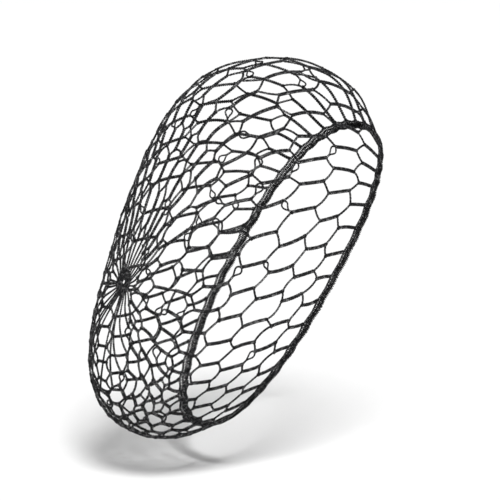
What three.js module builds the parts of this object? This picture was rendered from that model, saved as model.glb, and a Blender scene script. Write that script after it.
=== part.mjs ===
// A crocheted snood hairnet in the form that it has when worn: a bag of coarse hexagonal net, worked
// in rounds from a small ring at the back out to a close band of stitches and an elastic at the mouth.
// Millimetres, +Z up. The wearer looks along -Y, so the bag hangs towards +Y, and x = 0 is the
// mid-plane. The origin is the centre of the mouth, where the net sits on the head.

import * as THREE from "three";

// Driving dimensions
const COLUMNS = 16; // cells in each row around the bag
const ROWS = 7; // rows of cells from the mouth to the centre
const STRAND_WIDTH = 3.4; // a chain-stitch strand, measured along the net
const STRAND_THICKNESS = 2.4; // the same strand, measured through the net
const SIDE_SHARE = 0.55; // height of a strand's side wall, as a share of its thickness
const CENTRE_STRAND_WIDTH = 2.2; // the strands draw together to this at the centre
const ZIGZAG = 0.17; // rise of a zigzag link, as a share of a row
const EDGE_STEPS = 2; // facets along one side of a cell
const SLACK_BELOW = 0.34; // how much narrower the cells are below the bag than over the head
const CROWN_SQUARENESS = 2.4; // of a round's upper half: 2 is an ellipse
const BAG_SQUARENESS = 2.3; // of a round's lower half
const ROUNDING_FROM = 0.5; // where the rounds begin to ease into the centre's plain ellipse
const THINNING_FROM = 0.6; // where the strands begin to draw together
const CORD_DIAMETER = 3.2; // elastic at the edge of the mouth
const CORD_SIDES = 8;
const BAND_WIDTH = 5.0; // close stitches between the elastic and the net
const BAND_THICKNESS = 2.6;
const BAND_SHOULDER = 0.5; // thickness at the band's sides, as a share of that at its middle
const MOUTH_STEPS = 64; // facets around the mouth
const RING_RADIUS = 6.0; // the start of the crochet, at the middle of its stitches
const RING_THICKNESS = 4.0;
const RING_STEPS = 24;
const RING_SIDES = 8;
const GAP = 0.3; // clearance between neighbouring pieces

// Rounds of the bag, from the mouth (at 0) to the centre (at 1). Each row gives the round's highest
// and lowest point on the mid-plane, half of its width and where it is widest, counted from below.
const ROUNDS = [
  { at: 0.0, topY: -90, topZ: 130, lowY: 90, lowZ: -130, halfWidth: 79, widestAt: 0.55 },
  { at: 0.15, topY: -62, topZ: 175, lowY: 123, lowZ: -137, halfWidth: 84.5, widestAt: 0.56 },
  { at: 0.3, topY: -8, topZ: 198, lowY: 153, lowZ: -134, halfWidth: 88.5, widestAt: 0.57 },
  { at: 0.45, topY: 50, topZ: 194, lowY: 177, lowZ: -119, halfWidth: 85.5, widestAt: 0.55 },
  { at: 0.6, topY: 94, topZ: 168, lowY: 192, lowZ: -97, halfWidth: 63, widestAt: 0.48 },
  { at: 0.75, topY: 123, topZ: 120, lowY: 197, lowZ: -70, halfWidth: 41, widestAt: 0.42 },
  { at: 0.88, topY: 147, topZ: 68, lowY: 191, lowZ: -36, halfWidth: 25.5, widestAt: 0.43 },
  { at: 1.0, topY: 168, topZ: 18, lowY: 175, lowZ: -2, halfWidth: 10.2, widestAt: 0.5 },
];
const ARC_SAMPLES = 240; // steps that measure the way around a round
const MOUTH_REACH = 0.15; // part of the table that the mouth's pieces lie within
const HALVINGS = 24; // steps that find a place in it
const SMALL_STEP = 1e-3; // share of the table, and of the way around, that directions are read over

// One column of the table at any place between its rows, on a smooth cubic.
function column(name, at) {
  const last = ROUNDS.length - 1;
  const slope = (i) => {
    const before = ROUNDS[Math.max(i - 1, 0)];
    const after = ROUNDS[Math.min(i + 1, last)];
    return (after[name] - before[name]) / (after.at - before.at);
  };
  let i = 0;
  while (i < last - 1 && at > ROUNDS[i + 1].at) i += 1;
  const start = ROUNDS[i];
  const end = ROUNDS[i + 1];
  const span = end.at - start.at;
  const t = (at - start.at) / span;
  const t2 = t * t;
  const t3 = t2 * t;
  const values = (2 * t3 - 3 * t2 + 1) * start[name] + (3 * t2 - 2 * t3) * end[name];
  return values + span * ((t3 - 2 * t2 + t) * slope(i) + (t3 - t2) * slope(i + 1));
}

// A round is a flat oval across the mid-plane. Angle 0 is its highest point, and +X comes next.
function roundAt(at) {
  const low = new THREE.Vector3(0, column("lowY", at), column("lowZ", at));
  const top = new THREE.Vector3(0, column("topY", at), column("topZ", at));
  const widestAt = column("widestAt", at);
  const height = top.distanceTo(low);
  const ease = THREE.MathUtils.smoothstep(at, ROUNDING_FROM, 1);
  return {
    middle: low.clone().lerp(top, widestAt),
    upward: top.clone().sub(low).normalize(),
    halfWidth: column("halfWidth", at),
    above: height * (1 - widestAt),
    below: height * widestAt,
    crown: THREE.MathUtils.lerp(CROWN_SQUARENESS, 2, ease),
    bag: THREE.MathUtils.lerp(BAG_SQUARENESS, 2, ease),
  };
}

function pointOnRound(round, angle) {
  const c = Math.cos(angle);
  const s = Math.sin(angle);
  const power = c >= 0 ? round.crown : round.bag;
  const reach = (Math.abs(c) ** power + Math.abs(s) ** power) ** (-1 / power);
  const point = round.middle.clone();
  point.addScaledVector(round.upward, (c >= 0 ? round.above : round.below) * reach * c);
  point.x += round.halfWidth * reach * s;
  return point;
}

// A point of the bag's middle surface. The share of the way around counts stitches: they lie closer
// together under the bag, where the net is slack, than over the head, where it is stretched.
function bagPoint(share, at) {
  const turn = share - Math.floor(share);
  const round = roundAt(at);
  const wanted = turn + (SLACK_BELOW * Math.sin(2 * Math.PI * turn)) / (2 * Math.PI);
  const lengths = [0];
  let previous = pointOnRound(round, 0);
  for (let i = 1; i <= ARC_SAMPLES; i += 1) {
    const next = pointOnRound(round, (2 * Math.PI * i) / ARC_SAMPLES);
    lengths.push(lengths[i - 1] + next.distanceTo(previous));
    previous = next;
  }
  const goal = wanted * lengths[ARC_SAMPLES];
  let i = 0;
  while (i < ARC_SAMPLES - 1 && lengths[i + 1] < goal) i += 1;
  const part = (goal - lengths[i]) / (lengths[i + 1] - lengths[i]);
  return pointOnRound(round, (2 * Math.PI * (i + part)) / ARC_SAMPLES);
}

// Directions at a point of the bag: out of it, and along it from the mouth to the centre.
function bagDirections(share, at) {
  const around = bagPoint(share + SMALL_STEP, at).sub(bagPoint(share - SMALL_STEP, at)).normalize();
  const further = bagPoint(share, Math.min(at + SMALL_STEP, 1));
  const out = around.clone().cross(further.sub(bagPoint(share, Math.max(at - SMALL_STEP, 0)))).normalize();
  return { out, inward: out.clone().cross(around) };
}

// Where along the table a point lies that is this far in from the mouth, square to its edge.
function inFromMouth(share, distance) {
  const edge = bagPoint(share, 0);
  const { inward } = bagDirections(share, 0);
  let near = 0;
  let far = MOUTH_REACH;
  for (let i = 0; i < HALVINGS; i += 1) {
    const at = (near + far) / 2;
    if (bagPoint(share, at).sub(edge).dot(inward) < distance) near = at;
    else far = at;
  }
  return near;
}

// Collects shared points and flat-faced quads, and gives them back as one closed geometry.
class Shell {
  constructor() {
    this.positions = [];
    this.triangles = [];
  }

  point(p) {
    this.positions.push(p.x, p.y, p.z);
    return this.positions.length / 3 - 1;
  }

  quad(a, b, c, d) {
    this.triangles.push(a, b, c, a, c, d);
  }

  geometry() {
    const geometry = new THREE.BufferGeometry();
    geometry.setAttribute("position", new THREE.Float32BufferAttribute(this.positions, 3));
    geometry.setIndex(this.triangles);
    geometry.computeVertexNormals();
    return geometry;
  }
}

// A closed loop of one section: sectionAt(share) gives the section's points in order.
function loopGeometry(steps, sectionAt) {
  const shell = new Shell();
  const sections = [];
  for (let i = 0; i < steps; i += 1) {
    sections.push(sectionAt(i / steps).map((p) => shell.point(p)));
  }
  sections.forEach((section, i) => {
    const next = sections[(i + 1) % steps];
    section.forEach((corner, k) => {
      const after = (k + 1) % section.length;
      shell.quad(corner, next[k], next[after], section[after]);
    });
  });
  return shell.geometry();
}

// The net

const NET_START = CORD_DIAMETER + GAP + BAND_WIDTH + GAP + STRAND_WIDTH / 2;

function strandWidth(at) {
  const drawn = THREE.MathUtils.smoothstep(at, THINNING_FROM, 1);
  return THREE.MathUtils.lerp(STRAND_WIDTH, CENTRE_STRAND_WIDTH, drawn);
}

// A corner of the cells: boundary 0 is the mouth's round and boundary ROWS the centre's. A corner
// that a post of the next row starts from is pulled towards that row, which makes the zigzag.
function cornerPlace(boundary, corner) {
  const share = corner / (2 * COLUMNS);
  const start = inFromMouth(share, NET_START);
  const straight = boundary === 0 || boundary === ROWS;
  const side = (corner + boundary) % 2 === 0 ? 1 : -1;
  const row = boundary + (straight ? 0 : side * ZIGZAG);
  return { share, at: start + ((1 - start) * row) / ROWS };
}

// A strand's ridge point: the outer and inner face over one place of the net's middle surface.
function ridge(shell, place) {
  const middle = bagPoint(place.share, place.at);
  const { out } = bagDirections(place.share, place.at);
  const half = STRAND_THICKNESS / 2;
  return {
    middle,
    out,
    at: place.at,
    outer: shell.point(middle.clone().addScaledVector(out, half)),
    inner: shell.point(middle.clone().addScaledVector(out, -half)),
  };
}

// A strand's side: the outer and inner edge of the wall beside a ridge point.
function flank(shell, point, shift) {
  const half = (STRAND_THICKNESS * SIDE_SHARE) / 2;
  const beside = point.middle.clone().add(shift);
  return {
    outer: shell.point(beside.clone().addScaledVector(point.out, half)),
    inner: shell.point(beside.clone().addScaledVector(point.out, -half)),
  };
}

// Moves a ridge point of a gap's outline half a strand into the gap, square to both of its sides.
function intoGap(outline, i) {
  const count = outline.length;
  const point = outline[i];
  const before = outline[(i + count - 1) % count].middle;
  const after = outline[(i + 1) % count].middle;
  const arriving = point.middle.clone().sub(before).normalize();
  const leaving = after.clone().sub(point.middle).normalize();
  const first = point.out.clone().cross(arriving);
  const second = point.out.clone().cross(leaving);
  const middle = first.clone().add(second).normalize();
  return middle.multiplyScalar(strandWidth(point.at) / 2 / middle.dot(first));
}

function joinStrip(shell, ridges, flanks) {
  const count = ridges.length;
  for (let i = 0; i < count; i += 1) {
    const k = (i + 1) % count;
    shell.quad(ridges[i].outer, ridges[k].outer, flanks[k].outer, flanks[i].outer);
    shell.quad(flanks[i].outer, flanks[k].outer, flanks[k].inner, flanks[i].inner);
    shell.quad(flanks[i].inner, flanks[k].inner, ridges[k].inner, ridges[i].inner);
  }
}

function netGeometry() {
  const shell = new Shell();
  const corners = 2 * COLUMNS;
  const ridges = new Map();
  const ridgeAt = (key, place) => {
    if (!ridges.has(key)) ridges.set(key, ridge(shell, place()));
    return ridges.get(key);
  };

  // The ridge points from one corner towards another, without the last.
  const side = (from, to) => {
    const name = ([boundary, corner]) => `${boundary}.${(corner + corners) % corners}`;
    const flipped = name(from) > name(to);
    const points = [];
    for (let step = 0; step < EDGE_STEPS; step += 1) {
      const count = flipped ? EDGE_STEPS - step : step;
      const ends = flipped ? [to, from] : [from, to];
      const key = step === 0 ? name(from) : `${name(ends[0])} ${name(ends[1])} ${count}`;
      points.push(ridgeAt(key, () => {
        const start = cornerPlace(...from);
        const end = cornerPlace(...to);
        return {
          share: THREE.MathUtils.lerp(start.share, end.share, step / EDGE_STEPS),
          at: THREE.MathUtils.lerp(start.at, end.at, step / EDGE_STEPS),
        };
      }));
    }
    return points;
  };

  for (let row = 0; row < ROWS; row += 1) {
    for (let cell = 0; cell < COLUMNS; cell += 1) {
      const left = 2 * cell + (row % 2);
      const loop = [
        [row, left], [row, left + 1], [row, left + 2],
        [row + 1, left + 2], [row + 1, left + 1], [row + 1, left],
      ];
      const outline = loop.flatMap((corner, i) => side(corner, loop[(i + 1) % loop.length]));
      joinStrip(shell, outline, outline.map((point, i) => flank(shell, point, intoGap(outline, i))));
    }
  }

  // The net's own first and last round, closed on the side away from the cells.
  for (const boundary of [0, ROWS]) {
    const outline = [];
    for (let k = 0; k < corners; k += 1) {
      const corner = boundary === 0 ? corners - k : k;
      const next = boundary === 0 ? corner - 1 : corner + 1;
      outline.push(...side([boundary, corner], [boundary, next]));
    }
    joinStrip(shell, outline, outline.map((point, i) => flank(shell, point, intoGap(outline, i))));
  }
  return shell.geometry();
}

// The band of close stitches and the elastic, side by side along the mouth

function bandSection(share) {
  const at = inFromMouth(share, CORD_DIAMETER + GAP + BAND_WIDTH / 2);
  const middle = bagPoint(share, at);
  const { out, inward } = bagDirections(share, at);
  const place = (across, through) => middle.clone()
    .addScaledVector(inward, (across * BAND_WIDTH) / 2)
    .addScaledVector(out, (through * BAND_THICKNESS) / 2);
  const side = BAND_SHOULDER;
  return [place(-1, side), place(0, 1), place(1, side), place(1, -side), place(0, -1), place(-1, -side)];
}

function cordSection(share) {
  const at = inFromMouth(share, CORD_DIAMETER / 2);
  const middle = bagPoint(share, at);
  const { out, inward } = bagDirections(share, at);
  const corners = [];
  for (let i = 0; i < CORD_SIDES; i += 1) {
    const angle = (2 * Math.PI * (i + 0.5)) / CORD_SIDES;
    corners.push(middle.clone()
      .addScaledVector(inward, (-Math.cos(angle) * CORD_DIAMETER) / 2)
      .addScaledVector(out, (Math.sin(angle) * CORD_DIAMETER) / 2));
  }
  return corners;
}

// The ring that the crochet starts on

function ringGeometry() {
  const profile = [];
  for (let i = 0; i <= RING_SIDES; i += 1) {
    const angle = (2 * Math.PI * i) / RING_SIDES;
    const across = (Math.cos(angle) * RING_THICKNESS) / 2;
    const through = (Math.sin(angle) * STRAND_THICKNESS) / 2;
    profile.push(new THREE.Vector2(RING_RADIUS + across, through));
  }
  return new THREE.LatheGeometry(profile, RING_STEPS);
}

function placeRing(ring) {
  const round = roundAt(1);
  const out = new THREE.Vector3(1, 0, 0).cross(round.upward).negate();
  ring.position.copy(round.middle);
  ring.quaternion.setFromUnitVectors(new THREE.Vector3(0, 1, 0), out);
}

// Assembly

// Colour and roughness of each piece: black silky yarn, and a duller elastic.
const FINISHES = {
  centre_ring: { color: 0x1a1a1c, roughness: 0.55 },
  net_bag: { color: 0x161618, roughness: 0.5 },
  edge_band: { color: 0x131315, roughness: 0.6 },
  elastic_cord: { color: 0x0e0e10, roughness: 0.7 },
};

function piece(name, geometry) {
  const material = new THREE.MeshStandardMaterial({ ...FINISHES[name], metalness: 0 });
  const mesh = new THREE.Mesh(geometry, material);
  mesh.name = name;
  return mesh;
}

const snood = new THREE.Group();
const centreRing = piece("centre_ring", ringGeometry());
placeRing(centreRing);
snood.add(centreRing);
snood.add(piece("net_bag", netGeometry()));
snood.add(piece("edge_band", loopGeometry(MOUTH_STEPS, bandSection)));
snood.add(piece("elastic_cord", loopGeometry(MOUTH_STEPS, cordSection)));

export default snood;
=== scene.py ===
"""A crocheted snood hairnet in its worn form: the finish of the net, its band, elastic and ring.

Every strand is real yarn: links are chains of looped stitches, posts are plaited from three yarns,
and a small knot ties each corner. Sizes are in millimetres, and Yarns.mesh turns them into metres.
"""
import math
from collections import namedtuple

import bpy
import numpy as np
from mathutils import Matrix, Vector


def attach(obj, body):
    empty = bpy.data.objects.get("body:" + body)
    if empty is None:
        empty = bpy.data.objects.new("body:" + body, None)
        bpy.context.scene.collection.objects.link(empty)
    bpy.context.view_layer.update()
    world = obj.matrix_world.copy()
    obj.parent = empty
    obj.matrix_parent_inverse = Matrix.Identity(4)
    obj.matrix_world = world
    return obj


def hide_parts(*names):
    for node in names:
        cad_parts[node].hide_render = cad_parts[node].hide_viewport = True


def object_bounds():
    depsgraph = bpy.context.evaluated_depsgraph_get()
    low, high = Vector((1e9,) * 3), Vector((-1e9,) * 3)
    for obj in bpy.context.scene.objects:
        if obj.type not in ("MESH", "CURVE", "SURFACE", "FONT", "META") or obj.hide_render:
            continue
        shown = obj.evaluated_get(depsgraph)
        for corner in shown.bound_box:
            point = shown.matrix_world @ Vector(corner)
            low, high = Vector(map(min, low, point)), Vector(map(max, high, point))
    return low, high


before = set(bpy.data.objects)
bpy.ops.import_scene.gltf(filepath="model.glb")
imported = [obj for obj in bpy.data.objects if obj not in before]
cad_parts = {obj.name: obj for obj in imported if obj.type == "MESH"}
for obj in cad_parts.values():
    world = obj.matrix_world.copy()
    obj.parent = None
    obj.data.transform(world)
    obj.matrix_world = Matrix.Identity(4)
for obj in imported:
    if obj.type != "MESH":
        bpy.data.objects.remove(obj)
cad_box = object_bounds()

MM = 0.001
SEED = 41
rng = np.random.default_rng(SEED)

# The bag's rounds, from the mouth (at 0) to the centre (at 1): the highest and lowest point of each
# on the mid-plane, half of its width and where it is widest, counted from below.
Round = namedtuple("Round", "at top_y top_z low_y low_z half_width widest_at")
ROUNDS = [
    Round(0.0, -90, 130, 90, -130, 79, 0.55),
    Round(0.15, -62, 175, 123, -137, 84.5, 0.56),
    Round(0.3, -8, 198, 153, -134, 88.5, 0.57),
    Round(0.45, 50, 194, 177, -119, 85.5, 0.55),
    Round(0.6, 94, 168, 192, -97, 63, 0.48),
    Round(0.75, 123, 120, 197, -70, 41, 0.42),
    Round(0.88, 147, 68, 191, -36, 25.5, 0.43),
    Round(1.0, 168, 18, 175, -2, 10.2, 0.5),
]
CROWN_SQUARENESS = 2.4  # of a round's upper half: 2 is an ellipse
BAG_SQUARENESS = 2.3  # of its lower half
ROUNDING_FROM = 0.5  # where the rounds begin to ease into the centre's plain ellipse
SLACK_AT_MOUTH = -0.3  # how much wider than the mean the columns stand at the top of the mouth
SLACK_AT_CENTRE = 0.2  # the same at the centre
SLACK_REACH = 0.6  # the part of the bag over which the one becomes the other
TABLE_STEPS = 300  # rounds in the grid that the bag is read from
AROUND_STEPS = 720  # points in each of them
ARC_STEPS = 1440  # steps that measure the way around a round
MOUTH_REACH = 0.25  # the part of the grid that the mouth's pieces lie within

# Mouth and centre
CORD_DIAMETER = 3.2
BAND_WIDTH = 5.0
GAP = 0.3
BAND_PITCH = 3.2
RING_RADIUS = 6.0
NET_START = CORD_DIAMETER + GAP + BAND_WIDTH + GAP

# The net: columns of cells around the bag, and heights of its rows from the mouth to the ring
COLUMNS = 42
CENTRE_COLUMNS = 28
CENTRE_ROWS = 3
ROW_HEIGHTS = (18, 22, 27, 26, 22, 19, 23, 25, 18)
ROWS = len(ROW_HEIGHTS)
ZIGZAG = 0.14  # rise of a zigzag link, as a share of a row
LINE_STEPS = 28  # points along a strand

# How the net hangs: rows slide down below the ring, are drawn wide on the crown, and columns sink
HANG = 68.0  # the farthest that a row slides, right below the ring
HANG_FROM = 0.3  # how far below level a column starts to slide, from 0 at the sides to 1 at the bottom
CROWN_PULL = 1.4  # how strongly the rows of the crown are drawn in
CROWN_NARROWING = 4  # the higher, the closer to the top that pull stays
SINK = 0.033  # share of the way around
SINK_REACH = 0.32  # how far up from the bottom, as a share of the way around
SINK_BETWEEN = (0.15, 0.5)  # shares of the way from the ring to the mouth where it starts and is full

# How uneven the stitches are
LOOSE_JOINT = 0.9
LIFT_SHARE = 0.4  # of that looseness, through the net
FULL_CELL = 20.0  # narrower cells than this have less room to move in
WANDER = 2.4
Wave = namedtuple("Wave", "around inward start size")
WAVES_AROUND = (Wave(3, 5, 0.7, 1.0), Wave(5, -9, 2.1, 0.6))
WAVES_INWARD = (Wave(4, -7, 1.3, 1.0), Wave(7, 6, 0.0, 0.6))
SMALL_TURN = 1e-3  # shares of the way around and inward that distances are read over
SMALL_STEP = 4e-3
LINK_BOW = 0.06  # bends sideways, as shares of a strand's length
POST_BOW = 0.03
YARN_VARIES = 0.05  # in thickness

# Loops drawn open into a tear shape, at the end of some links
TEAR_SHARE = 0.15
TEAR_LENGTH = 12.0
TEAR_REACH = 0.8  # of the link, at most
LEAST_TEAR = 7.5
TEAR_SPREAD = 0.28  # half of its width, as a share of its length
TEAR_POINT = 1.7  # above 1 its start is the pointed end

# Yarn: its radius and how a chain or plait is worked from it
Gauge = namedtuple("Gauge", "yarn half_width half_depth pitch")
LINK_CHAIN = Gauge(yarn=0.48, half_width=0.74, half_depth=0.56, pitch=3.1)
TEAR_CHAIN = Gauge(yarn=0.43, half_width=0.54, half_depth=0.47, pitch=2.6)
POST_PLAIT = Gauge(yarn=0.62, half_width=1.14, half_depth=0.55, pitch=6.6)
SPOKE_PLAIT = Gauge(yarn=0.46, half_width=0.78, half_depth=0.42, pitch=5.6)
SPOKE_TAPER = 0.6
TIE_PLAIT = Gauge(yarn=0.46, half_width=0.47, half_depth=0.25, pitch=5.6)
BAND_CHAIN = Gauge(yarn=0.46, half_width=0.82, half_depth=0.62, pitch=BAND_PITCH)
RING_CHAIN = Gauge(yarn=0.42, half_width=0.70, half_depth=0.5, pitch=2.1)
YARN_SIDES = 5
TWIST_PITCH = 1.5


def unit(vectors):
    return vectors / np.linalg.norm(vectors, axis=-1, keepdims=True)


def smoothstep(value, low, high):
    t = np.clip((value - low) / (high - low), 0, 1)
    return t * t * (3 - 2 * t)


# The bag that the net lies on


def table_column(name, at):
    """One column of the rounds at any place between its rows, on a smooth cubic."""
    knots = np.array([r.at for r in ROUNDS])
    values = np.array([getattr(r, name) for r in ROUNDS], float)
    before = np.maximum(np.arange(len(knots)) - 1, 0)
    after = np.minimum(np.arange(len(knots)) + 1, len(knots) - 1)
    slopes = (values[after] - values[before]) / (knots[after] - knots[before])
    i = int(np.clip(np.searchsorted(knots, at) - 1, 0, len(knots) - 2))
    span = knots[i + 1] - knots[i]
    t = (at - knots[i]) / span
    ends = (2 * t**3 - 3 * t**2 + 1) * values[i] + (3 * t**2 - 2 * t**3) * values[i + 1]
    return ends + span * ((t**3 - 2 * t**2 + t) * slopes[i] + (t**3 - t**2) * slopes[i + 1])


def round_points(at, shares):
    """Points of one round, by the share of its stitches counted from the top towards +X."""
    top = np.array([0, table_column("top_y", at), table_column("top_z", at)])
    low = np.array([0, table_column("low_y", at), table_column("low_z", at)])
    widest_at = table_column("widest_at", at)
    half_width = table_column("half_width", at)
    middle = low + (top - low) * widest_at
    height = np.linalg.norm(top - low)
    upward = (top - low) / height
    ease = smoothstep(at, ROUNDING_FROM, 1)
    crown = CROWN_SQUARENESS + (2 - CROWN_SQUARENESS) * ease
    bag_half = BAG_SQUARENESS + (2 - BAG_SQUARENESS) * ease

    def on_round(angle):
        c, s = np.cos(angle), np.sin(angle)
        power = np.where(c >= 0, crown, bag_half)
        reach = (np.abs(c) ** power + np.abs(s) ** power) ** (-1 / power)
        rise = np.where(c >= 0, height * (1 - widest_at), height * widest_at) * reach * c
        points = middle + rise[:, None] * upward
        points[:, 0] += half_width * reach * s
        return points

    angles = np.linspace(0, 2 * math.pi, ARC_STEPS + 1)
    steps = np.linalg.norm(np.diff(on_round(angles), axis=0), axis=1)
    lengths = np.concatenate([[0], np.cumsum(steps)])
    tight = max(0.0, 1 - at / SLACK_REACH) ** 2
    slack = SLACK_AT_CENTRE + (SLACK_AT_MOUTH - SLACK_AT_CENTRE) * tight
    wanted = shares + slack * np.sin(2 * math.pi * shares) / (2 * math.pi)
    return on_round(np.interp(wanted * lengths[-1], lengths, angles))


class Bag:
    """The middle surface of the net, read between the points of a fine grid."""

    def __init__(self):
        shares = np.arange(AROUND_STEPS) / AROUND_STEPS
        self.points = np.array([round_points(at, shares) for at in np.linspace(0, 1, TABLE_STEPS + 1)])
        around = np.roll(self.points, -1, axis=1) - np.roll(self.points, 1, axis=1)
        inward = np.gradient(self.points, axis=0)
        self.normals = unit(np.cross(around, inward))
        self.inward = unit(np.cross(self.normals, around))
        lengths = np.linalg.norm(np.diff(self.points, axis=0), axis=2).mean(axis=1)
        self.depth = np.concatenate([[0], np.cumsum(lengths)])
        reach = ((self.points - self.points[0]) * self.inward[0]).sum(axis=2)
        self.reach = np.maximum.accumulate(reach[: int(TABLE_STEPS * MOUTH_REACH)], axis=0)

    def read(self, grid, share, at):
        """Values of a grid at any place between its points."""
        x = (np.asarray(share, float) % 1) * AROUND_STEPS
        y = np.clip(np.asarray(at, float), 0, 1) * TABLE_STEPS
        j = np.floor(x).astype(int) % AROUND_STEPS
        i = np.minimum(np.floor(y).astype(int), TABLE_STEPS - 1)
        u = (x - np.floor(x))[..., None]
        v = (y - i)[..., None]
        k = (j + 1) % AROUND_STEPS
        near = grid[i, j] * (1 - u) + grid[i, k] * u
        far = grid[i + 1, j] * (1 - u) + grid[i + 1, k] * u
        return near * (1 - v) + far * v

    def at(self, share, at):
        """Points and outward normals."""
        return self.read(self.points, share, at), unit(self.read(self.normals, share, at))

    def in_from_mouth(self, share, distance):
        """The place in the grid that lies this far in from the mouth, square to its edge."""
        columns = np.round((np.atleast_1d(share) % 1) * AROUND_STEPS).astype(int) % AROUND_STEPS
        distances = np.broadcast_to(distance, columns.shape)
        steps = np.arange(self.reach.shape[0]) / TABLE_STEPS
        return np.array([np.interp(d, self.reach[:, c], steps) for d, c in zip(distances, columns)])

    def at_depth(self, share):
        """The place in the grid at a share of the mean way from the mouth to the centre."""
        return np.interp(share * self.depth[-1], self.depth, np.linspace(0, 1, TABLE_STEPS + 1))


bag = Bag()
ring_centre = round_points(1, np.array([0.0, 0.5])).mean(axis=0)


# Courses and stitches


class Course:
    """A line that yarn follows, with places measured along, across and through it."""

    def __init__(self, points, normals, closed=False):
        if closed:
            points = np.concatenate([points, points[:1]])
            normals = np.concatenate([normals, normals[:1]])
        steps = np.linalg.norm(np.diff(points, axis=0), axis=1)
        self.reach = np.concatenate([[0], np.cumsum(steps)])
        self.length = self.reach[-1]
        self.closed = closed
        self.points = points
        tangents = unit(np.gradient(points, axis=0))
        if closed:
            tangents[0] = tangents[-1] = unit(points[1] - points[-2])
        self.tangents = tangents
        self.sides = unit(np.cross(normals, tangents))
        self.normals = np.cross(tangents, self.sides)

    def read(self, rows, along):
        return np.stack([np.interp(along, self.reach, rows[:, k]) for k in range(3)], axis=-1)

    def place(self, along, across, through):
        """Points by their distances along the course, to its side and out of the net."""
        inside = along % self.length if self.closed else np.clip(along, 0, self.length)
        points = self.read(self.points, inside)
        if not self.closed:
            points += self.read(self.tangents, inside) * (along - inside)[..., None]
        points += self.read(self.sides, inside) * across[..., None]
        return points + self.read(self.normals, inside) * through[..., None]


# One chain stitch: along in pitches, across in half widths, through in half depths.
StitchPoint = namedtuple("StitchPoint", "along across through")
CHAIN_STITCH = [
    StitchPoint(0.0, 0.0, -1.0),
    StitchPoint(0.18, 0.45, -0.2),
    StitchPoint(0.62, 0.95, 0.75),
    StitchPoint(1.12, 0.8, 0.35),
    StitchPoint(1.32, 0.0, -0.2),
    StitchPoint(1.12, -0.8, 0.35),
    StitchPoint(0.62, -0.95, 0.75),
    StitchPoint(0.18, -0.45, -0.2),
    StitchPoint(0.45, -0.1, -0.95),
]
STITCH_RINGS = 10  # rings of points that its tube is made of
FINE_STEPS = 20  # between two points, to measure the stitch's length


def stitch_curve():
    """The stitch as a smooth curve of evenly spaced points, ready to repeat."""
    through_points = np.array(CHAIN_STITCH)
    ahead = np.array([1.0, 0, 0])
    looped = np.concatenate([through_points[-1:] - ahead, through_points, through_points[:2] + ahead])
    t = (np.arange(FINE_STEPS) / FINE_STEPS)[:, None]
    points = []
    for i in range(len(through_points)):
        p0, p1, p2, p3 = looped[i : i + 4]
        bend = 2 * p0 - 5 * p1 + 4 * p2 - p3
        twist = 3 * (p1 - p2) + p3 - p0
        points.append(0.5 * (2 * p1 + (p2 - p0) * t + bend * t**2 + twist * t**3))
    points = np.concatenate(points + [through_points[:1] + ahead])
    reach = np.concatenate([[0], np.cumsum(np.linalg.norm(np.diff(points, axis=0), axis=1))])
    even = np.linspace(0, reach[-1], STITCH_RINGS, endpoint=False)
    return np.stack([np.interp(even, reach, points[:, k]) for k in range(3)], axis=1)


STITCH = stitch_curve()


def chain(course, gauge, start=0.0, stop=None):
    """One yarn worked as chain stitches from start to stop of a course."""
    stop = course.length if stop is None else stop
    count = max(1, round((stop - start) / gauge.pitch))
    pitch = (stop - start) / count
    along = start + (np.arange(count)[:, None] + STITCH[:, 0]) * pitch
    across = np.tile(STITCH[:, 1] * gauge.half_width, (count, 1))
    through = np.tile(STITCH[:, 2] * gauge.half_depth, (count, 1))
    return course.place(along.ravel(), across.ravel(), through.ravel())


PLAIT_YARNS = 3
PLAIT_RINGS = 10  # to a pitch
LEAST_RINGS = 4


def plait(course, gauge, taper=1.0):
    """The yarns of a plait, which cross over one another in turn; a taper draws its far end together."""
    count = max(LEAST_RINGS, math.ceil(course.length / gauge.pitch * PLAIT_RINGS))
    along = np.linspace(0, course.length, count)
    turns = 2 * math.pi * along / gauge.pitch
    drawn = np.linspace(1, taper, count)
    yarns = []
    for k in range(PLAIT_YARNS):
        phase = turns + 2 * math.pi * k / PLAIT_YARNS
        across = gauge.half_width * drawn * np.sin(phase)
        through = gauge.half_depth * drawn * np.sin(2 * phase)
        yarns.append(course.place(along, across, through))
    return yarns


KNOT_YARN = 0.46
KNOT_RADIUS = 1.12
KNOT_DEPTH = 0.5
KNOT_RINGS = 18
KNOT_LIFT = 0.35
KNOT_VARIES = (0.85, 1.15)
RING_KNOT = 0.8  # size of a knot beside the ring


def knot(centre, normal, heading, size):
    """A yarn tied once over itself, a trefoil that lies on the net."""
    side = np.cross(normal, heading)
    t = np.arange(KNOT_RINGS) / KNOT_RINGS * 2 * math.pi
    ring = KNOT_RADIUS + KNOT_DEPTH * np.cos(3 * t)
    across, along = ring * np.cos(2 * t), ring * np.sin(2 * t)
    through = KNOT_DEPTH * np.sin(3 * t)
    points = across[:, None] * side + along[:, None] * heading + through[:, None] * normal
    return centre + size * points


WRAP_YARN = 0.42
WRAP_RINGS = 12


def whipping(course, wraps, half_width, half_depth):
    """One yarn wound round and round a closed course."""
    steps = wraps * WRAP_RINGS
    along = np.arange(steps) / steps * course.length
    turn = 2 * math.pi * np.arange(steps) / WRAP_RINGS
    return course.place(along, half_width * np.cos(turn), half_depth * np.sin(turn))


# Yarn as a mesh

TURN = np.arange(YARN_SIDES) / YARN_SIDES * 2 * math.pi
CIRCLE = np.stack([np.cos(TURN), np.sin(TURN)], axis=1)
CAP_TWIST = 0.1  # size of a yarn's end in the layout of its twist
CAP_CELL = 0.4  # the same in its cell of the layout for baking


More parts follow.
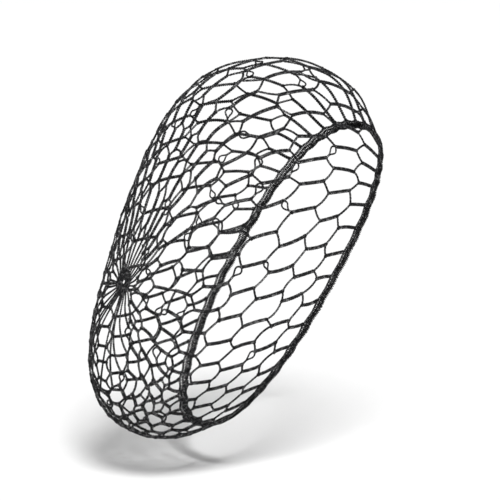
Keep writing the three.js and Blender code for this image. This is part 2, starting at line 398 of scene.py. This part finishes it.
def make_mesh(name, verts, loops, totals):
    """A smooth mesh from its points, the corners of its faces and the number of corners in each."""
    mesh = bpy.data.meshes.new(name)
    mesh.vertices.add(len(verts))
    mesh.vertices.foreach_set("co", verts.ravel())
    mesh.loops.add(len(loops))
    mesh.loops.foreach_set("vertex_index", loops.astype(np.int32))
    mesh.polygons.add(len(totals))
    starts = np.concatenate([[0], np.cumsum(totals)[:-1]])
    mesh.polygons.foreach_set("loop_start", starts.astype(np.int32))
    mesh.polygons.foreach_set("use_smooth", np.ones(len(totals), bool))
    return mesh


def lay_flat(mesh, name, places):
    """A flat layout of the corners of a mesh's faces."""
    layer = mesh.uv_layers.new(name=name)
    layer.data.foreach_set("uv", places.astype(np.float32).ravel())


class Yarns:
    """Lengths of yarn that become the tubes of one mesh."""

    def __init__(self):
        self.groups = {}

    def add(self, points, radius, closed=False):
        self.groups.setdefault((len(points), closed), []).append((points, radius))

    def mesh(self, name):
        """All the tubes as one mesh, with a layout for baking and one that follows each yarn."""
        verts, loops, totals, twist = [], [], [], []
        base = 0
        for (count, closed), group in self.groups.items():
            tubes = len(group)
            points = np.array([path for path, _ in group])
            radii = np.array([radius for _, radius in group])
            verts.append(self.rings(points, radii, closed).reshape(-1, 3))
            index = base + np.arange(tubes * count * YARN_SIDES).reshape(tubes, count, YARN_SIDES)
            base += index.size
            here = index if closed else index[:, :-1]
            ahead = np.roll(index, -1, axis=1) if closed else index[:, 1:]
            around = (here, np.roll(here, -1, axis=2), np.roll(ahead, -1, axis=2), ahead)
            quads = np.stack(around, axis=-1)
            loops.append(quads.reshape(-1))
            totals.append(np.full(quads[..., 0].size, 4))
            twist.append(self.twist_places(points, quads.shape, closed))
            if not closed:
                for caps in (index[:, 0, ::-1], index[:, -1]):
                    loops.append(caps.reshape(-1))
                    totals.append(np.full(tubes, YARN_SIDES))
                    twist.append(np.tile(CIRCLE * CAP_TWIST, (tubes, 1)))
        totals = np.concatenate(totals)
        mesh = make_mesh(name, np.concatenate(verts) * MM, np.concatenate(loops), totals)
        lay_flat(mesh, "OFBake", self.atlas(totals))
        lay_flat(mesh, "yarn", np.concatenate(twist))
        mesh.update(calc_edges=True)
        return mesh

    def rings(self, points, radii, closed):
        """The points around each tube."""
        across, beside = self.frames(points, closed)
        spokes = across[:, :, None] * CIRCLE[:, :1] + beside[:, :, None] * CIRCLE[:, 1:]
        return points[:, :, None] + spokes * radii[:, None, None, None]

    def frames(self, points, closed):
        """Two directions square to each tube, turned as little as possible from ring to ring."""
        if closed:
            tangents = unit(np.roll(points, -1, axis=1) - np.roll(points, 1, axis=1))
        else:
            tangents = unit(np.gradient(points, axis=1))
        count = points.shape[1]
        first = np.eye(3)[np.abs(tangents[:, 0]).argmin(axis=1)]
        across = np.empty_like(points)
        across[:, 0] = unit(np.cross(tangents[:, 0], first))
        for i in range(1, count):
            across[:, i] = self.squared(across[:, i - 1], tangents[:, i])
        beside = np.cross(tangents, across)
        if closed:
            back = self.squared(across[:, -1], tangents[:, 0])
            turned = np.arctan2((back * beside[:, 0]).sum(1), (back * across[:, 0]).sum(1))
            angle = -turned[:, None, None] * (np.arange(count) / count)[:, None]
            across, beside = (
                across * np.cos(angle) + beside * np.sin(angle),
                beside * np.cos(angle) - across * np.sin(angle),
            )
        return across, beside

    @staticmethod
    def squared(direction, tangent):
        return unit(direction - tangent * (direction * tangent).sum(axis=1, keepdims=True))

    @staticmethod
    def twist_places(points, shape, closed):
        """Where each corner lies along its yarn, in turns of its twist, and around it."""
        steps = np.linalg.norm(np.diff(points, axis=1), axis=2)
        if closed:
            last = np.linalg.norm(points[:, :1] - points[:, -1:], axis=2)
            steps = np.concatenate([steps, last], axis=1)
        ends = np.cumsum(steps, axis=1)
        starts = ends - steps
        along = np.stack([starts, starts, ends, ends], axis=-1)[:, :, None] / TWIST_PITCH
        around = (np.arange(YARN_SIDES)[:, None] + np.array([0, 1, 1, 0])) / YARN_SIDES
        places = (np.broadcast_to(along, shape), np.broadcast_to(around, shape))
        return np.stack(places, axis=-1).reshape(-1, 2)

    @staticmethod
    def atlas(totals):
        """A cell of one square for each face, with the faces of a tube in unbroken lanes."""
        lanes = max(1, math.ceil(math.sqrt(len(totals)) / YARN_SIDES))
        rows = math.ceil(math.ceil(len(totals) / YARN_SIDES) / lanes)
        face = np.arange(len(totals))
        segment, side = face // YARN_SIDES, face % YARN_SIDES
        column = segment // rows * YARN_SIDES + side
        row = segment % rows
        cells = np.repeat(np.stack([column, row], axis=1), totals, axis=0).astype(float)
        inside = np.empty_like(cells)
        quad = np.array([[0, 0], [1, 0], [1, 1], [0, 1]], float)
        four = np.repeat(totals, totals) == 4
        inside[four] = np.tile(quad, (int((totals == 4).sum()), 1))
        inside[~four] = np.tile(0.5 + CAP_CELL * CIRCLE, (int((totals != 4).sum()), 1))
        return (cells + inside) / (lanes * YARN_SIDES, rows)


# The net

Corner = namedtuple("Corner", "share at lift")


def columns_in(row):
    """How many columns of cells a row has: fewer near the centre."""
    return CENTRE_COLUMNS if row >= ROWS - CENTRE_ROWS else COLUMNS


def post_shares(row):
    """Where around the bag the posts of a row stand: every other row lies half a cell on."""
    count = columns_in(row)
    return (np.arange(count) + 0.5 * (row % 2)) / count


def hang(share, depth):
    """How far in a row lies: rows below the centre slide down, and those on the crown are drawn wide."""
    upward = math.cos(2 * math.pi * share)
    below = smoothstep(-upward, HANG_FROM, 1)
    above = max(0.0, upward) ** CROWN_NARROWING
    slid = below * depth**2 * (depth < 1) * HANG / bag.depth[-1]
    return depth - slid + above * CROWN_PULL * depth * (1 - depth) ** 2


def sink(share, depth):
    """Where around the bag a column lies: on the lower sides it sinks as it leaves the centre."""
    away = share % 1 - 0.5
    low = math.sin(math.pi * min(1.0, abs(away) / SINK_REACH))
    return share - math.copysign(SINK, away) * low * smoothstep(1 - depth, *SINK_BETWEEN)


def wander(waves, share, at):
    """A slow drift of the stitches, as a worn net is never even."""
    turn = 2 * math.pi * share
    drifts = (w.size * math.sin(w.around * turn + w.inward * at + w.start) for w in waves)
    return WANDER * sum(drifts) / 2


def make_corner(column, depth, row, held):
    """The place of one end of a post, a little loose unless the band or the ring holds it."""
    share = sink(column, depth)
    first = bag.in_from_mouth(share, NET_START)[0]
    at = first + (1 - first) * bag.at_depth(hang(share, depth))
    drift = rng.normal(0, LOOSE_JOINT, 3)
    if held:
        return Corner(share, at, 0.0)
    here = bag.read(bag.points, share, at)
    beside = np.linalg.norm(bag.read(bag.points, share + SMALL_TURN, at) - here) / SMALL_TURN
    inward = np.linalg.norm(bag.read(bag.points, share, at + SMALL_STEP) - here) / SMALL_STEP
    room = min(1.0, beside / columns_in(row) / FULL_CELL)
    return Corner(
        share + room * (drift[0] + wander(WAVES_AROUND, share, at)) / beside,
        at + room * (drift[1] + wander(WAVES_INWARD, share, at)) / inward,
        LIFT_SHARE * room * drift[2],
    )


def make_corners():
    """Corners by boundary and side: the ends of the row before, and the starts of the row after."""
    depths = np.concatenate([[0], np.cumsum(ROW_HEIGHTS)]) / sum(ROW_HEIGHTS)
    made = {}
    for boundary in range(ROWS + 1):
        held = boundary in (0, ROWS)
        for side, row, rise in (("end", boundary - 1, -ZIGZAG), ("start", boundary, ZIGZAG)):
            if not 0 <= row < ROWS:
                continue
            reach = boundary + (0 if held else rise)
            depth = np.interp(reach, np.arange(ROWS + 1), depths)
            for k, column in enumerate(post_shares(row)):
                made[boundary, side, k] = make_corner(column, depth, row, held)
    return made


corners = make_corners()


def boundary_corners(boundary):
    """All corners of a boundary in their order around the bag."""
    found = [corner for key, corner in corners.items() if key[0] == boundary]
    return sorted(found, key=lambda corner: corner.share % 1)


def line_between(start, stop, bow):
    """The course of a strand over the bag between two corners."""
    t = np.linspace(0, 1, LINE_STEPS)
    across = stop.share - start.share
    across -= round(across)
    share = start.share + across * t
    at = start.at + (stop.at - start.at) * t
    points, normals = bag.at(share, at)
    arch = 4 * t * (1 - t)
    length = np.linalg.norm(points[-1] - points[0])
    sideways = unit(np.cross(normals, points[-1] - points[0]))
    points = points + sideways * (arch * bow * length)[:, None]
    lift = start.lift + (stop.lift - start.lift) * t
    return Course(points + normals * lift[:, None], normals)


def add_link(yarns, start, stop):
    """A chain between two corners; now and then its last loop is drawn open into a tear shape."""
    course = line_between(start, stop, rng.normal(0, LINK_BOW))
    size = 1 + rng.normal(0, YARN_VARIES)
    drawn_open = rng.random() < TEAR_SHARE
    tear = min(TEAR_LENGTH, TEAR_REACH * course.length)
    if not drawn_open or tear < LEAST_TEAR:
        yarns.add(chain(course, LINK_CHAIN), LINK_CHAIN.yarn * size)
        return
    split = course.length - tear
    yarns.add(chain(course, LINK_CHAIN, 0, split), LINK_CHAIN.yarn * size)
    t = np.linspace(0, 1, LINE_STEPS)
    along = split + tear * t
    spread = TEAR_SPREAD * tear * np.sin(math.pi * t**TEAR_POINT)
    for side in (-1, 1):
        path = course.place(along, side * spread, 0 * t)
        branch = Course(path, course.read(course.normals, along))
        yarns.add(chain(branch, TEAR_CHAIN), TEAR_CHAIN.yarn * size)


def add_post(yarns, start, stop, spoke):
    """A plait between two rows, or a finer one that runs to the ring."""
    course = line_between(start, stop, rng.normal(0, POST_BOW))
    size = 1 + rng.normal(0, YARN_VARIES)
    gauge = SPOKE_PLAIT if spoke else POST_PLAIT
    for path in plait(course, gauge, SPOKE_TAPER if spoke else 1.0):
        yarns.add(path, gauge.yarn * size)


def add_knot(yarns, corner, boundary):
    """The knot of a corner, turned any way."""
    point, normal = bag.at(corner.share, corner.at)
    angle = rng.uniform(0, 2 * math.pi)
    inward = unit(bag.read(bag.inward, corner.share, corner.at))
    side = np.cross(normal, inward)
    heading = inward * math.cos(angle) + side * math.sin(angle)
    size = (RING_KNOT if boundary == ROWS else 1.0) * rng.uniform(*KNOT_VARIES)
    path = knot(point + normal * (corner.lift + KNOT_LIFT), normal, heading, size)
    yarns.add(path, KNOT_YARN * size, closed=True)


def net_rows(first, last):
    """The posts of some rows, with the links and knots of the boundaries that they start from."""
    yarns = Yarns()
    for row in range(first, last + 1):
        for k in range(columns_in(row)):
            add_post(yarns, corners[row, "start", k], corners[row + 1, "end", k], row == ROWS - 1)
        ends = boundary_corners(row)
        for i, corner in enumerate(ends):
            add_knot(yarns, corner, row)
            if row > 0:
                add_link(yarns, corner, ends[(i + 1) % len(ends)])
    if last == ROWS - 1:
        for corner in boundary_corners(ROWS):
            add_knot(yarns, corner, ROWS)
    return yarns


# The mouth

MOUTH_STEPS = 1600
MOUTH_WAVES = 90  # waves this fine and finer are smoothed away
SCALLOP = 0.6  # how far a post pulls the rim in
SCALLOP_CHANGE = 0.35  # some posts pull this share harder than others
SCALLOP_WAVES = 5


def mouth_course(distance):
    """A closed line around the mouth, this far in from its edge, which each post pulls in a little."""
    share = np.arange(MOUTH_STEPS) / MOUTH_STEPS
    posts = np.array([corners[0, "start", k].share for k in range(COLUMNS)])
    turn = 2 * math.pi * np.interp(share, np.append(posts, 1.0), np.arange(COLUMNS + 1) / COLUMNS)
    pull = SCALLOP * (1 + SCALLOP_CHANGE * np.sin(SCALLOP_WAVES * turn)) * np.cos(COLUMNS * turn)
    at = bag.in_from_mouth(share, distance + pull)
    smooth = np.fft.irfft(np.fft.rfft(at)[:MOUTH_WAVES], MOUTH_STEPS)
    points, normals = bag.at(share, smooth)
    return Course(points, normals, closed=True)


def band_course(across):
    """A line around the mouth at a share of the band's width."""
    return mouth_course(CORD_DIAMETER + GAP + BAND_WIDTH * across)


BAND_ROWS = (0.2, 0.77)  # shares of the band's width
# The legs between the two rows of chain, in shares of a stitch and of the band's width
LEG_STEPS = 8
LEG_FOOT = 0.1
LEG_LEAN = 0.28
LEG_REACH = 0.9
LEG_RISE = 0.75
LEG_YARN = 0.95  # as a share of the chain's yarn
# The loops of the edge stitches over the elastic
HOLD_RADIUS = 1.72
HOLD_OPENING = math.radians(30)
HOLD_STRETCH = 0.85
HOLD_RINGS = 13
HOLDS_PER_STITCH = 2
HOLD_LEAN = 0.3
HOLD_SHIFT = 0.1
HOLD_VARIES = (0.96, 1.08)


def add_legs(yarns, course, count):
    """Pairs of legs that lean apart, one pair to a stitch."""
    pitch = course.length / count
    t = np.linspace(0, 1, LEG_STEPS)
    for i in range(count):
        for lean in (-1, 1):
            along = (i + 0.5 + lean * (LEG_FOOT + LEG_LEAN * t)) * pitch
            across = BAND_WIDTH * (t - 0.5) * LEG_REACH
            through = LEG_RISE * np.sin(math.pi * t)
            yarns.add(course.place(along, across, through), BAND_CHAIN.yarn * LEG_YARN)


def add_holds(yarns, course, count):
    """Loops over the elastic, open towards the net, where the band takes them in."""
    turn = np.linspace(math.pi - HOLD_OPENING, HOLD_OPENING - math.pi, HOLD_RINGS)
    inward = -np.cos(turn) * np.where(np.cos(turn) < 0, 1 + HOLD_STRETCH, 1)
    lean = np.linspace(-HOLD_LEAN, HOLD_LEAN, HOLD_RINGS) * BAND_PITCH
    for i in range(count):
        along = (i + rng.normal(0, HOLD_SHIFT)) * course.length / count + lean
        radius = HOLD_RADIUS * rng.uniform(*HOLD_VARIES)
        yarns.add(course.place(along, radius * inward, radius * np.sin(turn)), BAND_CHAIN.yarn)


def band_stitches():
    """Two rows of chain around the mouth, with legs that join them and loops over the elastic."""
    yarns = Yarns()
    for across in BAND_ROWS:
        yarns.add(chain(band_course(across), BAND_CHAIN), BAND_CHAIN.yarn, closed=True)
    middle = band_course(0.5)
    count = round(middle.length / BAND_PITCH)
    add_legs(yarns, middle, count)
    add_holds(yarns, mouth_course(CORD_DIAMETER / 2), count * HOLDS_PER_STITCH)
    return yarns


WRAPS_PER_STITCH = 2
WRAP_SWELL = 0.16
CORE_RADIUS = 1.0
CORE_STEPS = 480


def elastic_yarns():
    """The elastic: a round core, whipped all the way by the yarn of the edge stitches."""
    yarns = Yarns()
    course = mouth_course(CORD_DIAMETER / 2)
    wraps = round(course.length / BAND_PITCH) * WRAPS_PER_STITCH
    stitch = np.arange(wraps * WRAP_RINGS) / WRAP_RINGS / WRAPS_PER_STITCH
    radius = CORD_DIAMETER / 2 - WRAP_YARN + WRAP_SWELL * np.cos(2 * math.pi * stitch)
    yarns.add(whipping(course, wraps, radius, radius), WRAP_YARN, closed=True)
    along = np.arange(CORE_STEPS) / CORE_STEPS * course.length
    yarns.add(course.place(along, 0 * along, 0 * along), CORE_RADIUS, closed=True)
    return yarns


# The centre

RING_STEPS = 96
RING_WRAPS = 40
RING_HALF_WIDTH = 1.5
RING_HALF_DEPTH = 0.8
RING_ROWS = (1.6, -1.7, -3.3)  # rows of stitches, by their distance out from the ring


def ring_course(radius):
    """A closed line around the centre, this far out from it."""
    shares = np.arange(RING_STEPS) / RING_STEPS
    outward = unit(round_points(1, shares) - ring_centre)
    facing = unit(bag.at(shares, np.ones(RING_STEPS))[1].mean(axis=0))
    return Course(ring_centre + outward * radius, np.tile(facing, (RING_STEPS, 1)), closed=True)


def add_tie(yarns, share):
    """The plait that carries a spoke on from the net's edge to the ring."""
    end, normal = bag.at(share, 1.0)
    on_ring = ring_centre + unit(end - ring_centre) * RING_RADIUS
    course = Course(np.linspace(end, on_ring, LINE_STEPS), np.tile(normal, (LINE_STEPS, 1)))
    for path in plait(course, TIE_PLAIT):
        yarns.add(path, TIE_PLAIT.yarn)


def ring_yarns():
    """The ring that the crochet starts on: whipped yarn with rows of stitches around it."""
    yarns = Yarns()
    core = ring_course(RING_RADIUS)
    whipped = whipping(core, RING_WRAPS, RING_HALF_WIDTH, RING_HALF_DEPTH)
    yarns.add(whipped, WRAP_YARN, closed=True)
    for out in RING_ROWS:
        yarns.add(chain(ring_course(RING_RADIUS + out), RING_CHAIN), RING_CHAIN.yarn, closed=True)
    for share in post_shares(ROWS - 1):
        add_tie(yarns, share)
    return yarns


# Finishes


class Wire:
    """A socket that takes part in expressions: each operator adds a Math node."""

    def __init__(self, nodes, socket):
        self.nodes = nodes
        self.socket = socket

    def maths(self, operation, first, second=0.0):
        return self.nodes.node("ShaderNodeMath", {"operation": operation}, {0: first, 1: second})

    def __add__(self, other):
        return self.maths("ADD", self, other)

    def __sub__(self, other):
        return self.maths("SUBTRACT", self, other)

    def __rsub__(self, other):
        return self.maths("SUBTRACT", other, self)

    def __mul__(self, other):
        return self.maths("MULTIPLY", self, other)

    __radd__ = __add__
    __rmul__ = __mul__

    def wave(self):
        return self.maths("SINE", self)

    def size(self):
        return self.maths("ABSOLUTE", self)


class Nodes:
    """The nodes of one material, or of the room, made from expressions."""

    def __init__(self, tree):
        self.tree = tree

    def node(self, kind, settings=None, sockets=None, output=0):
        made = self.tree.nodes.new(kind)
        for key, value in (settings or {}).items():
            setattr(made, key, value)
        for key, value in (sockets or {}).items():
            self.feed(made.inputs[key], value)
        return Wire(self, made.outputs[output])

    def feed(self, socket, value):
        if isinstance(value, Wire):
            self.tree.links.new(value.socket, socket)
        else:
            socket.default_value = value

    def mix(self, share, first, second):
        sockets = {0: share, 6: first, 7: second}
        return self.node("ShaderNodeMix", {"data_type": "RGBA"}, sockets, output=2)

    def ramp(self, value, low, high):
        limits = {"Value": value, "From Min": low, "From Max": high}
        return self.node("ShaderNodeMapRange", {"interpolation_type": "SMOOTHSTEP"}, limits)

    def noise(self, grain):
        place = self.node("ShaderNodeTexCoord", output="Object")
        sockets = {"Vector": place, "Scale": grain.scale, "Detail": grain.detail}
        return self.node("ShaderNodeTexNoise", None, sockets)


class Finish(Nodes):
    """A material and its shader."""

    def __init__(self, name):
        self.material = bpy.data.materials.new(name)
        self.material.use_nodes = True
        super().__init__(self.material.node_tree)
        self.shader = self.tree.nodes["Principled BSDF"]

    def shade(self, **sockets):
        for key, value in sockets.items():
            self.feed(self.shader.inputs[key.replace("_", " ")], value)


PLIES = 2
FIBRES_ALONG = 3.0  # to a turn of the twist
FIBRES_AROUND = 7.0
Grain = namedtuple("Grain", "scale detail")
PATCHES = Grain(scale=45.0, detail=2.0)
SPECKS = Grain(scale=900.0, detail=1.0)
GLINTS = Grain(scale=330.0, detail=1.0)
GLINT_EDGES = (0.48, 0.64)
BUMP_STRENGTH = 0.55
BUMP_DEPTH = 0.25 * MM
FIBRE_HEIGHT = 0.12  # as a share of a ply's
SPECK_HEIGHT = 0.2
# How much each mark in the yarn pales its colour and roughens its surface; the ply's paling is painted
# shade in the grooves between plies, and the glint's paling is a painted highlight
Mark = namedtuple("Mark", "paler rougher")
PATCH = Mark(0.4, 0.16)
PLY = Mark(0.2, -0.08)
GLINT = Mark(0.4, -0.14)
# The dark blacks are the yarn's own colour; the pale blacks are worn yarn, and also painted light: paler
# ply crests beside painted shade in the grooves, and painted highlights on the glints
BLACK = (0.003, 0.003, 0.0035, 1)
WORN_AND_PAINTED_LIGHT_BLACK = (0.014, 0.014, 0.0155, 1)
ELASTIC_BLACK = (0.004, 0.004, 0.005, 1)
WORN_AND_PAINTED_LIGHT_ELASTIC = (0.013, 0.013, 0.014, 1)


def yarn_finish(name, roughness, dark=BLACK, pale=WORN_AND_PAINTED_LIGHT_BLACK):
    """Black rayon yarn: twisted plies with a silky gloss in glints, a little paler where it has worn,
    with painted shade in the grooves between plies and the glints painted paler as highlights.
    """
    finish = Finish(name)
    place = finish.node("ShaderNodeUVMap", {"uv_map": "yarn"})
    along = finish.node("ShaderNodeSeparateXYZ", None, {0: place}, output="X")
    around = finish.node("ShaderNodeSeparateXYZ", None, {0: place}, output="Y")
    ply = (math.pi * (along + PLIES * around)).wave().size()
    fibre = (2 * math.pi * (along * FIBRES_ALONG + FIBRES_AROUND * around)).wave()
    patch = finish.noise(PATCHES)
    speck = finish.noise(SPECKS)
    glint = finish.ramp(finish.noise(GLINTS), *GLINT_EDGES)
    # The pale share mixes real wear from the patches with painted light: the ply's part is painted shade
    # in the grooves between plies, and the glint's part is a painted highlight
    wear_and_painted_light = patch * PATCH.paler + ply * PLY.paler + glint * GLINT.paler
    rough = roughness + patch * PATCH.rougher + ply * PLY.rougher + glint * GLINT.rougher
    height = ply + FIBRE_HEIGHT * fibre + SPECK_HEIGHT * speck
    raised = {"Strength": BUMP_STRENGTH, "Distance": BUMP_DEPTH, "Height": height}
    bump = finish.node("ShaderNodeBump", None, raised)
    colour = finish.mix(wear_and_painted_light, dark, pale)
    finish.shade(Base_Color=colour, Roughness=rough, Coat_Weight=glint, Normal=bump)
    finish.shade(Specular_IOR_Level=0.15, Coat_Roughness=0.34, Coat_IOR=1.7)
    return finish.material


net_yarn = yarn_finish("net_yarn", roughness=0.40)
band_yarn = yarn_finish("band_yarn", roughness=0.40)
elastic = yarn_finish("covered_elastic", roughness=0.45, dark=ELASTIC_BLACK, pale=WORN_AND_PAINTED_LIGHT_ELASTIC)
ring_yarn = yarn_finish("ring_yarn", roughness=0.36)


# The pieces


def place_piece(name, yarns, material, node):
    """Yarns as one piece of the scene, in place of a solid of the part."""
    piece = bpy.data.objects.new(name, yarns.mesh(name))
    piece.data.materials.append(material)
    bpy.context.scene.collection.objects.link(piece)
    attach(piece, "root")
    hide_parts(node)


NetPiece = namedtuple("NetPiece", "name first_row last_row")
NET_PIECES = (
    NetPiece("net_mouth_rounds", 0, 1),
    NetPiece("net_side_rounds", 2, 2),
    NetPiece("net_crown_rounds", 3, 3),
    NetPiece("net_back_rounds", 4, 5),
    NetPiece("net_inner_rounds", 6, 6),
    NetPiece("net_centre_rounds", 7, ROWS - 1),
)
for part in NET_PIECES:
    place_piece(part.name, net_rows(part.first_row, part.last_row), net_yarn, "net_bag")
place_piece("edge_stitches", band_stitches(), band_yarn, "edge_band")
place_piece("whipped_elastic", elastic_yarns(), elastic, "elastic_cord")
place_piece("ring_stitches", ring_yarns(), ring_yarn, "centre_ring")


# Floor, light and camera, in metres

FLOOR_BELOW = 0.03
FLOOR_SIZE = 120.0
FLOOR_CORNERS = ((-0.5, -0.5), (0.5, -0.5), (0.5, 0.5), (-0.5, 0.5))
FLOOR_GREY = (0.59, 0.59, 0.59, 1)
FLOOR_PALE = (0.61, 0.61, 0.61, 1)
FLOOR_GRAIN = Grain(scale=6.0, detail=4.0)


def floor_finish():
    finish = Finish("pale_floor")
    grain = finish.noise(FLOOR_GRAIN)
    finish.shade(Base_Color=finish.mix(grain, FLOOR_GREY, FLOOR_PALE), Roughness=0.9)
    finish.shade(Specular_IOR_Level=0.1)
    return finish.material


def lay_floor():
    low = cad_box[0][2] - FLOOR_BELOW
    mesh = bpy.data.meshes.new("floor")
    places = [(x * FLOOR_SIZE, y * FLOOR_SIZE, low) for x, y in FLOOR_CORNERS]
    mesh.from_pydata(places, [], [(0, 1, 2, 3)])
    mesh.materials.append(floor_finish())
    floor = bpy.data.objects.new("floor", mesh)
    bpy.context.scene.collection.objects.link(floor)


ROOM_LIGHT = 0.15
WHITE = (1, 1, 1, 1)
LAMP_POWER = 6.0
LAMP_BREADTH = math.radians(22)
LAMP_FROM = Vector((-0.75, 0.35, 1.25))


def light_room():
    """A white room that gives little light of its own, and one broad lamp overhead."""
    world = bpy.data.worlds.new("white_room")
    world.use_nodes = True
    nodes = Nodes(world.node_tree)
    background = world.node_tree.nodes["Background"].inputs
    seen = nodes.node("ShaderNodeLightPath", output="Is Camera Ray")
    nodes.feed(background["Color"], WHITE)
    nodes.feed(background["Strength"], ROOM_LIGHT + (1 - ROOM_LIGHT) * seen)
    bpy.context.scene.world = world
    lamp = bpy.data.lights.new("broad_lamp", "SUN")
    lamp.energy = LAMP_POWER
    lamp.angle = LAMP_BREADTH
    holder = bpy.data.objects.new("broad_lamp", lamp)
    holder.rotation_euler = LAMP_FROM.to_track_quat("Z", "Y").to_euler()
    bpy.context.scene.collection.objects.link(holder)


VIEW_AZIMUTH = math.radians(235)
VIEW_ELEVATION = math.radians(9)
VIEW_DISTANCE = 1.6
VIEW_AIM = Vector((0, 0.0365, 0.024))
PIXEL = 0.92 * MM  # what one pixel of the photograph spans at the net
PHOTO_PIXELS = 500
SENSOR = 36.0


def set_camera():
    """The camera stands at the photograph's angle: behind the net, to its right and a little above."""
    flat = math.cos(VIEW_ELEVATION)
    back = Vector((
        math.sin(VIEW_AZIMUTH) * flat,
        -math.cos(VIEW_AZIMUTH) * flat,
        math.sin(VIEW_ELEVATION),
    ))
    data = bpy.data.cameras.new("photo_view")
    data.sensor_width = SENSOR
    data.lens = SENSOR * VIEW_DISTANCE / (PIXEL * PHOTO_PIXELS)
    data.clip_end = 2 * FLOOR_SIZE
    camera = bpy.data.objects.new("photo_view", data)
    camera.location = VIEW_AIM + back * VIEW_DISTANCE
    camera.rotation_euler = back.to_track_quat("Z", "Y").to_euler()
    bpy.context.scene.collection.objects.link(camera)
    bpy.context.scene.camera = camera


lay_floor()
light_room()
set_camera()
bpy.context.scene.view_settings.view_transform = "Standard"
